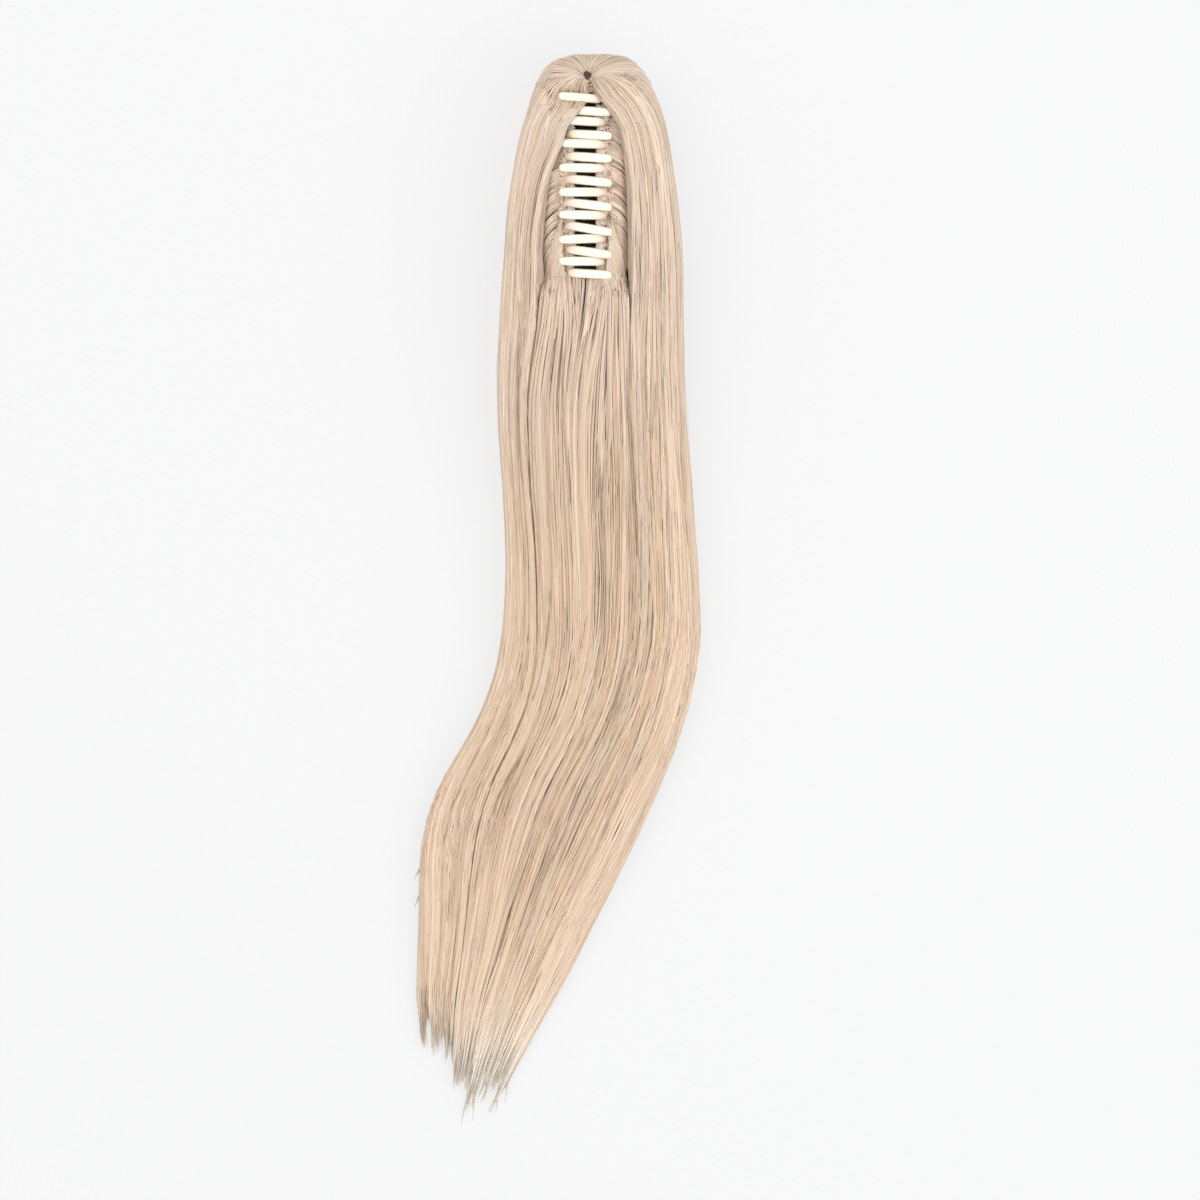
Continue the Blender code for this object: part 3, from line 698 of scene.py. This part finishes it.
def chevrons(tufts, side, locks=29, per_lock=27, steps=13, radius=0.4):
    """Hair sewn along a jaw's edge: it leaves the edge outwards and down, lock by lock."""
    n = locks * per_lock
    lock = np.repeat(np.arange(locks), per_lock)
    q = rng.uniform(-1, 1, n)
    pitch = 80.0 / locks
    y0 = 45.5 - pitch * lock + 0.62 * pitch * q + rng.normal(0, 0.7, locks)[lock]
    t = shares_along(steps)
    travel = rng.uniform(38, 46, n) + rng.normal(0, 3.0, locks)[lock]
    most = np.minimum(1.0, (y0 + 47.8) / travel)[:, None]
    y = y0[:, None] - travel[:, None] * (t * most) ** 1.35
    y = np.maximum(y, -47.9)
    first = 24.5 + rng.uniform(-1.0, 2.0, n)
    degrees = first[:, None] + (86.0 - first[:, None]) * (t * most) ** 0.8
    full = hollow_radius(y) - 0.9
    root = 24.6 * lower_at_ends(y0, 0.17)[:, None] + rng.uniform(0, 0.8, (n, 1))
    depth = rng.uniform(0, 1.3, n)[:, None] + 2.3 * np.abs(q[:, None]) ** 2.4 * smooth(t / 0.2)
    r = root + (np.maximum(full - depth, root) - root) * smooth(t / 0.2)
    turn = np.radians(degrees)
    path = np.stack([side * r * np.sin(turn), y, HINGE_Z + r * np.cos(turn)], -1)
    normal = np.stack([side * np.sin(turn), np.zeros_like(turn), np.cos(turn)], -1)
    size = radius * rng.uniform(0.65, 1.3, (n, 1)) * np.ones_like(t)
    # Painted shade: darker at the edges of locks, on deeper strands and further out where they run in under
    # the falls
    crack_shade = 0.25 + 0.75 * rng.uniform(0, 1, locks) ** (1.5 if side < 0 else 2.5)
    dark = crack_shade[lock][:, None] * np.abs(q[:, None]) ** 4
    dark = dark + 0.14 * smooth((depth - 0.9) / 1.8) + 0.08 * smooth(t / 0.8)
    tone = (1.02 if side < 0 else 1.10) + 0.07 * rng.normal(size=locks)
    tufts.add(path, size, normal, strand_colours(n, steps, tone[lock], None, dark))


def partings(tufts, steps=14, radius=0.25):
    """Thin dark and golden lines laid along the flow of the hair, darkened with painted shade of the
    partings between locks.
    """
    t = shares_along(steps)
    for x0, top, foot, count, parting_shade in PARTINGS:
        y = top + (foot - top) * t + rng.normal(0, 3.0, (count, 1))
        left, right, _, _ = flow(np.full(1, (top + foot) / 2))
        share = (x0 + rng.normal(0, 0.3, (count, 1)) - left) / (right - left)
        share = share + 0.004 * wave(count, y, 60.0)
        angle = angle_of_share(share)
        path = surface(y, angle, np.full_like(y, -0.75) + rng.uniform(0, 0.5, (count, 1)))
        shape = np.sin(np.pi * np.clip(t, 0.03, 0.97)) ** 0.5
        colour = strand_colours(count, steps, np.ones(count), None, np.full((count, steps), 0.8 * parting_shade))
        tufts.add(path, radius * rng.uniform(0.6, 1.3, (count, 1)) * shape, outward(y, angle), colour)


def wisps(tufts, steps=12, radius=0.36):
    """Locks that leave the tail and come to a point."""
    t = shares_along(steps)
    for x0, y0, x1, y1, half, count in WISPS:
        reach = 1 - np.abs(rng.normal(0, 0.13, (count, 1)))
        across = rng.uniform(-1, 1, (count, 1))
        depth = rng.uniform(0, 1, (count, 1))
        s = t * reach
        narrow = (1 - s) ** 0.8
        x = x0 + (x1 - x0) * s ** 1.25 + across * half * narrow + 0.25 * wave(count, 60 * s, 40.0) * s
        y = y0 + (y1 - y0) * s
        _, _, _, widest, high = section(y)
        v = np.clip(off_middle(y, x), 0, 0.97)
        top = widest + (high - widest) * (1 - v ** SQUARENESS) ** (1 / SQUARENESS)
        z = top * (1 - 0.3 * s) + 0.5 - 2.6 * (1 - smooth(s / 0.3)) - 3.0 * depth * narrow
        r = radius * rng.uniform(0.6, 1.2, (count, 1)) * (1 - 0.8 * smooth((t - 0.4) / 0.6))
        path = np.stack([x, y, np.maximum(z, r + 0.1)], -1)
        colour = strand_colours(count, steps, np.full(count, 1.08), 0.3 + 0.7 * s)
        tufts.add(path, r, np.broadcast_to(UP, path.shape), colour)


def strays(tufts, count=70, steps=26, radius=0.14):
    """Single hairs that stand off the rest."""
    share = rng.uniform(0.02, 0.98, count)
    start = rng.uniform(-330.0, 20.0, count)
    beside = np.where(share < 0.5, 0.02 + 0.3 * share, 0.98 - 0.3 * (1 - share))
    share = np.where(start > -60, beside, share)
    length = rng.uniform(60.0, 150.0, count)
    t = shares_along(steps)
    y = np.maximum(start[:, None] - length[:, None] * t, -462.0)
    drift = rng.normal(0, 0.05, (count, 1)) * t ** 1.5
    side_on = np.abs(share - 0.5)[:, None] > 0.42
    angle = angle_of_share(np.clip(share[:, None] + drift, 0.0, 1.0))
    lift = (0.7 + rng.uniform(0.2, 1.4, (count, 1)) * np.sin(np.pi * t) ** 2) * np.where(side_on, 1.4, 1.0)
    path = kept_out(surface(y, angle, -lift))
    shape = np.sin(np.pi * np.clip(t, 0.04, 0.96)) ** 0.5
    colour = strand_colours(count, steps, np.ones(count))
    tufts.add(path, radius * shape * np.ones((count, 1)), outward(y, angle), colour)


def whorl_root(look):
    """A dark blob of painted shade, set in the hollow at the middle of the whorl where shade falls."""
    shape = bmesh.new()
    bmesh.ops.create_uvsphere(shape, u_segments=20, v_segments=12, radius=1.0)
    top = surface(np.array([55.2]), angle_of(np.array([55.2]), 0.9), np.array([0.7]))[0]
    for vertex in shape.verts:
        turn = math.atan2(vertex.co.y, vertex.co.x)
        jag = 1 + 0.13 * math.sin(3 * turn + 1.0) + 0.09 * math.sin(7 * turn + 2.0)
        x, y, z = vertex.co
        vertex.co = metres((top[0] + 2.0 * jag * x, top[1] + 3.0 * jag * y, top[2] + z))
    return made_from(shape, "whorl_root", look)


def whorl_threads(tufts, count=34, steps=8):
    """Peach thread ends between the whorl and the first tooth."""
    along = rng.uniform(0, 1, count)
    x0 = 1.6 + 1.6 * along + rng.normal(0, 0.5, count)
    y0 = 53.0 - 5.6 * along
    t = shares_along(steps)
    turn = turning(count, t, 1.5, 4.0)
    wide = rng.uniform(0.4, 1.1, (count, 1))
    x = x0[:, None] + wide * np.cos(turn)
    y = y0[:, None] + wide * np.sin(turn)
    path = surface(y, angle_of(y, x), -0.5 - 0.4 * np.sin(np.pi * t) * np.ones_like(x))
    shade = np.where(rng.uniform(0, 1, (count, 1)) < 0.3, BROWN, PEACH)
    colours = np.repeat(shade[:, None], steps, 1)
    tufts.add(path, np.full(x.shape, 0.17), np.broadcast_to(UP, path.shape), colours, flat=1.0)


def main_hair(look):
    """All pieces of strands: the falls, the crown's end, the sewn hair and the inner tail."""
    for side, name in ((-1, "fall_left"), (1, "fall_right")):
        tufts = Tufts()
        fall_strands(tufts, side, 15, 56, 36, depth=(0.0, 2.4))
        fall_strands(tufts, side, 1, 60, 24, depth=(2.4, 8.0), across=(0.0, 0.06), groove=0.0)
        placed(tufts.piece(name, look), "hair")
        tufts = Tufts()
        fall_strands(tufts, side, 9, 44, 18, across=(1.0, 1.62), stop=-40.0)
        placed(tufts.piece(name + "_under", look), "hair")
    tufts = Tufts()
    crown_back(tufts)
    placed(tufts.piece("crown_end", look), "hair")
    tufts = Tufts()
    partings(tufts)
    wisps(tufts)
    strays(tufts)
    whorl_threads(tufts)
    placed(tufts.piece("fine_hairs", look), "hair")
    # Painted shade in the whorl's hollow
    placed(whorl_root(whorl_shade_look), "hair")
    for side, name in ((-1, "left"), (1, "right")):
        tufts = Tufts()
        chevrons(tufts, side)
        placed(tufts.piece("sewn_hair_" + name, look), "jaw_" + name)
        tufts = Tufts()
        inner_tail(tufts, side)
        tail = tufts.piece("inner_tail_" + name, look)
        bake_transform(tail)


def copied(node, name, look, move):
    """A welded copy of a solid, with its points in millimetres moved by a function."""
    source = bpy.data.objects[node]
    shape = bmesh.new()
    shape.from_mesh(source.data)
    shape.transform(source.matrix_world)
    bmesh.ops.remove_doubles(shape, verts=shape.verts[:], dist=1e-6)
    points = np.array([v.co[:] for v in shape.verts]) * 1000
    for vertex, point in zip(shape.verts, metres(move(points))):
        vertex.co = point
    obj = made_from(shape, name, look)
    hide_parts(node)
    return obj


def pulled_in(points):
    """Draws the hair's solids in towards their middle, to lie under the strands."""
    x, y, z = points.T
    middle, half, _, widest, high = section(y)
    by = 2.6 - 1.1 * smooth((y - 25) / 20) - 1.6 * smooth((-370 - y) / 50)
    x2 = middle + (x - middle) * (1 - by / np.maximum(half, 12))
    z2 = np.where(z > widest, widest + (z - widest) * (1 - by / np.maximum(high - widest, 6)), z)
    from_hinge = np.hypot(x, z - HINGE_Z)
    hollow = (np.abs(y) < HOLLOW_END) & (from_hinge < hollow_radius(y) + 0.6)
    front = (np.abs(x) < 23.6) & (y < -HOLLOW_END) & (z > widest)
    z2 = z2 - (6.0 + 8.0 * (x / 23) ** 2) * smooth((y + 72) / 23) * front
    under_tooth = 5.2 * np.exp(-(((y - 44.0) / 6.0) ** 2)) * smooth((x + 30) / 9) * smooth((8 - x) / 6)
    past = np.minimum(y + 385, 0)
    y2 = y - past * 0.62
    z2 = z2 * (1 - 0.45 * smooth(-past / 60))
    moved = np.where(hollow[:, None], points, np.stack([x2, y2, z2], -1))
    moved[:, 2] -= under_tooth * (z > 50)
    return moved


def drawn_to_hinge(points):
    """Brings the sewn bands' solids nearer to the hinge, to lie under their strands."""
    x, y, z = points.T
    return np.stack([x * 0.9, y, HINGE_Z + (z - HINGE_Z) * 0.9], -1)


def tooth_shift(points):
    """Gives each tooth the place, the width and the slant that it has in the photograph."""
    x, y, z = points.T
    above = (z - HINGE_Z) / lower_at_ends(y, 0.165)
    found = np.zeros_like(y)
    for k, (solid_y, photo_y, falls) in enumerate(TEETH):
        built_falls = 1.1 if k % 2 == 0 else 2.2
        near = np.abs(y - solid_y) < 2.7
        slant = math.tan(math.radians(falls)) - math.tan(math.radians(built_falls))
        wider = 0.2 * (y - solid_y)
        found = np.where(near, photo_y - solid_y - slant * x + wider, found)
    return found * smooth((above - 23.4) / 2.2)


def edge_above(y):
    """How high the sewn edge of a jaw lies above the hinge."""
    return 23.7 * lower_at_ends(y, 0.185)


def sewn_band(name, side, look, along=60, across=7):
    """The fuzzy edge where the hair is sewn on, from the teeth's roots towards the middle."""
    ys = np.linspace(-44.5, 41.0, along)
    shares = np.linspace(0, 1, across)
    rough = rng.normal(0, 0.22, (along, across))
    shape = bmesh.new()
    sheets = []
    for under in (0.0, 1.1):
        rows = []
        for i, y in enumerate(ys):
            inner = 5.4 + 0.7 * math.sin(1.9 * y + side) + 0.4 * math.sin(0.7 * y)
            row = []
            for j, share in enumerate(shares):
                x = side * (inner + (11.4 - inner) * share)
                z = HINGE_Z + edge_above(y) + 0.1 + rough[i, j] - under - 1.2 * (1 - share) ** 3
                row.append(shape.verts.new(metres((x, y + rough[i, j], z))))
            rows.append(row)
        sheets.append(rows)
    top, foot = sheets
    for i in range(along - 1):
        for j in range(across - 1):
            shape.faces.new((top[i][j], top[i][j + 1], top[i + 1][j + 1], top[i + 1][j]))
            shape.faces.new((foot[i + 1][j], foot[i + 1][j + 1], foot[i][j + 1], foot[i][j]))
        for j, a, b in ((0, top, foot), (across - 1, foot, top)):
            shape.faces.new((a[i][j], a[i + 1][j], b[i + 1][j], b[i][j]))
    for j in range(across - 1):
        for i, a, b in ((0, foot, top), (along - 1, top, foot)):
            shape.faces.new((a[i][j], a[i][j + 1], b[i][j + 1], b[i][j]))
    bmesh.ops.recalc_face_normals(shape, faces=shape.faces[:])
    return made_from(shape, name, look)


def stitches(tufts, side, loops=300, knots=80, steps=9):
    """Peach thread in little loops along a jaw's edge, with dark knots in it."""
    t = shares_along(steps)
    for count, colour, size, reach, off in (
        (loops, PALE_PEACH, 0.17, 1.5, 10.4),
        (knots, KNOT, 0.2, 0.8, 11.3),
    ):
        y0 = rng.uniform(-45.0, 42.0, count)
        across = off + rng.normal(0, 1.0, count)
        turn = turning(count, t, 2.0, 5.0)
        wide = reach * rng.uniform(0.4, 1.1, (count, 1))
        x = side * (across[:, None] + wide * np.cos(turn) * 0.8)
        y = y0[:, None] + wide * np.sin(turn)
        z = HINGE_Z + edge_above(y) + 0.3 + 0.5 * np.sin(np.pi * t) * rng.uniform(0.3, 1.2, (count, 1))
        path = np.stack([x, y, z * np.ones_like(x)], -1)
        shade = colour * (1 + 0.14 * rng.normal(size=(count, 1)))
        colours = np.clip(np.repeat(shade[:, None], steps, 1), 0.02, 0.95)
        radius = size * rng.uniform(0.7, 1.3, (count, 1)) * np.ones_like(x)
        tufts.add(path, radius, np.broadcast_to(UP, path.shape), colours, flat=1.0)


def with_teeth_shifted(points):
    return points + tooth_shift(points)[:, None] * np.array([0.0, 1.0, 0.0])


def jaws(look):
    """The two jaws, ivory at the teeth and peach at their roots, with what is sewn to each."""
    for side, name in ((-1, "left"), (1, "right")):
        jaw = copied("jaw_" + name, "clip_" + name, look, with_teeth_shifted)
        jaw.data.set_sharp_from_angle(angle=math.radians(48))
        points = np.array([v.co[:] for v in jaw.data.vertices]) * 1000
        above = points[:, 2] - HINGE_Z
        root = smooth((side * points[:, 0] - 2.5) / 7.0) * smooth((above - 12) / 6)
        set_tone(jaw.data, 1 - root[:, None] * np.array([0.0, 0.2, 0.25]))
        placed(jaw, "jaw_" + name)
        tufts = Tufts()
        stitches(tufts, side)
        placed(tufts.piece("stitches_" + name, strand_look), "jaw_" + name)
        placed(sewn_band("sewn_edge_" + name, side, band_look), "jaw_" + name)


def backings(look):
    """What fills the hair below its strands, in the place of the hair's solids: darker than the strands, as
    painted shade of the hair's depths.
    """
    for node in ("hair_mantle", "hair_core"):
        under = placed(copied(node, node + "_under", look, pulled_in), "hair")
        y = np.array([v.co[1] for v in under.data.vertices]) * 1000
        # The painted shade grows lighter down the tail and at the ends
        paler = 0.78 + 0.3 * smooth((-y - 60) / 270) + 0.35 * smooth((-y - 370) / 50)
        set_tone(under.data, paler[:, None] * np.ones(3))
    for name in ("left", "right"):
        # Dark copy of the weft: painted shade under the sewn hair
        under = copied("weft_" + name, "weft_under_" + name, weft_depth_shade_look, drawn_to_hinge)
        placed(under, "jaw_" + name)


def set_inputs(node, values):
    for name, value in values.items():
        node.inputs[name].default_value = value


def new_look(name):
    """A material with its nodes, its links and its shader."""
    look = bpy.data.materials.new(name)
    look.use_nodes = True
    nodes = look.node_tree.nodes
    return look, nodes, look.node_tree.links, nodes["Principled BSDF"]


def new_node(nodes, kind, values):
    node = nodes.new("ShaderNode" + kind)
    set_inputs(node, values)
    return node


def tone_node(nodes):
    tone = nodes.new("ShaderNodeVertexColor")
    tone.layer_name = "tone"
    return tone


def hair_look():
    """Each strand's own colours, with fine streaks along it."""
    look, nodes, links, shader = new_look("hair")
    tone = tone_node(nodes)
    place = nodes.new("ShaderNodeUVMap")
    place.uv_map = "strand"
    stretch = new_node(nodes, "Mapping", {"Scale": (9.0, 2.2, 1.0)})
    streak = new_node(nodes, "TexNoise", {"Scale": 1.0, "Detail": 3.0})
    ramp = new_node(nodes, "MapRange", {"From Min": 0.3, "From Max": 0.7, "To Min": 0.86, "To Max": 1.1})
    mix = nodes.new("ShaderNodeVectorMath")
    mix.operation = "SCALE"
    bump = new_node(nodes, "Bump", {"Strength": 0.25, "Distance": 0.0002})
    links.new(place.outputs["UV"], stretch.inputs["Vector"])
    links.new(stretch.outputs["Vector"], streak.inputs["Vector"])
    links.new(streak.outputs["Fac"], ramp.inputs["Value"])
    links.new(tone.outputs["Color"], mix.inputs[0])
    links.new(ramp.outputs["Result"], mix.inputs["Scale"])
    links.new(mix.outputs["Vector"], shader.inputs["Base Color"])
    links.new(streak.outputs["Fac"], bump.inputs["Height"])
    links.new(bump.outputs["Normal"], shader.inputs["Normal"])
    set_inputs(shader, {"Roughness": 0.46, "Specular IOR Level": 0.35})
    return look


def noisy_look(name, dark, light, scale, roughness, metallic=0.0, stretch=(1.0, 1.0, 1.0), toned=False):
    """A look whose colour varies with a noise over the object, and with its tone if it has one."""
    look, nodes, links, shader = new_look(name)
    place = nodes.new("ShaderNodeTexCoord")
    mapping = new_node(nodes, "Mapping", {"Scale": stretch})
    noise = new_node(nodes, "TexNoise", {"Scale": scale, "Detail": 4.0})
    ramp = nodes.new("ShaderNodeValToRGB")
    for element, position, colour in zip(ramp.color_ramp.elements, (0.3, 0.7), (dark, light)):
        element.position = position
        element.color = (*colour, 1.0)
    bump = new_node(nodes, "Bump", {"Strength": 0.15, "Distance": 0.0002})
    links.new(place.outputs["Object"], mapping.inputs["Vector"])
    links.new(mapping.outputs["Vector"], noise.inputs["Vector"])
    links.new(noise.outputs["Fac"], ramp.inputs["Fac"])
    if toned:
        tone = tone_node(nodes)
        both = nodes.new("ShaderNodeVectorMath")
        both.operation = "MULTIPLY"
        links.new(ramp.outputs["Color"], both.inputs[0])
        links.new(tone.outputs["Color"], both.inputs[1])
        links.new(both.outputs["Vector"], shader.inputs["Base Color"])
    else:
        links.new(ramp.outputs["Color"], shader.inputs["Base Color"])
    links.new(noise.outputs["Fac"], bump.inputs["Height"])
    links.new(bump.outputs["Normal"], shader.inputs["Normal"])
    set_inputs(shader, {"Roughness": roughness, "Metallic": metallic})
    return look


def set_floor():
    """A pale table that stays nearly white in the picture."""
    data = bpy.data.meshes.new("floor")
    corners = [(x * FLOOR_HALF, y * FLOOR_HALF, 0) for x, y in ((-1, -1), (1, -1), (1, 1), (-1, 1))]
    data.from_pydata(corners, [], [(0, 1, 2, 3)])
    floor = in_scene("floor", data)
    look, _, _, shader = new_look("pale_floor")
    set_inputs(shader, {
        "Base Color": (0.2, 0.2, 0.2, 1.0),
        "Roughness": 1.0,
        "Specular IOR Level": 0.0,
        "Emission Color": (1.0, 1.0, 1.0, 1.0),
        "Emission Strength": FLOOR_GLOW,
    })
    data.materials.append(look)


def set_lights():
    world = bpy.data.worlds.new("studio")
    bpy.context.scene.world = world
    world.use_nodes = True
    set_inputs(world.node_tree.nodes["Background"], {"Color": (0.95, 0.97, 1.0, 1.0), "Strength": 0.9})
    for name, place, size, power, tint in LAMPS:
        lamp = bpy.data.lights.new(name, "AREA")
        lamp.shape = "DISK"
        lamp.size = size
        lamp.energy = power
        lamp.color = tint
        obj = in_scene(name, lamp)
        obj.location = place
        obj.rotation_mode = "QUATERNION"
        obj.rotation_quaternion = (Vector(LAMPS_AIM) - Vector(place)).to_track_quat("-Z", "Y")


def set_camera():
    data = bpy.data.cameras.new("photo_camera")
    data.lens = LENS
    data.sensor_width = SENSOR
    data.clip_end = 100.0
    camera = in_scene("photo_camera", data)
    away = FRAME_WIDTH / 1000 * LENS / SENSOR
    camera.location = (FRAME_MIDDLE[0] / 1000, FRAME_MIDDLE[1] / 1000, FRAME_Z / 1000 + away)
    bpy.context.scene.camera = camera


set_camera()
set_floor()
set_lights()
bpy.context.scene.view_settings.view_transform = "Standard"
strand_look = hair_look()
# Darker than the strands: painted shade of the hair's depths
hair_depth_shade_look = noisy_look(
    "painted_shade_under_hair", (0.50, 0.36, 0.26), (0.72, 0.55, 0.42), 900.0, 0.7, stretch=(1.0, 0.05, 1.0), toned=True)
# Darker than the hair: painted shade in the recess under the sewn hair
weft_depth_shade_look = noisy_look("painted_shade_under_weft", (0.34, 0.23, 0.17), (0.54, 0.40, 0.31), 900.0, 0.75)
# Near black: painted shade for the whorl's hollow
whorl_shade_look = noisy_look("painted_whorl_shade", (0.03, 0.02, 0.015), (0.09, 0.055, 0.035), 900.0, 0.8)
cream = noisy_look("cream_plastic", (0.90, 0.85, 0.68), (0.95, 0.92, 0.78), 60.0, 0.3, toned=True)
band_look = noisy_look("sewn_edge", (1.0, 0.80, 0.68), (1.0, 0.93, 0.85), 700.0, 0.8)
wire = noisy_look("drawn_wire", (0.50, 0.40, 0.26), (0.75, 0.66, 0.48), 400.0, 0.35, metallic=1.0)
backings(hair_depth_shade_look)
jaws(cream)
main_hair(strand_look)
for node in ("hinge_pin", "torsion_spring"):
    bpy.data.objects[node].data.materials[0] = wire
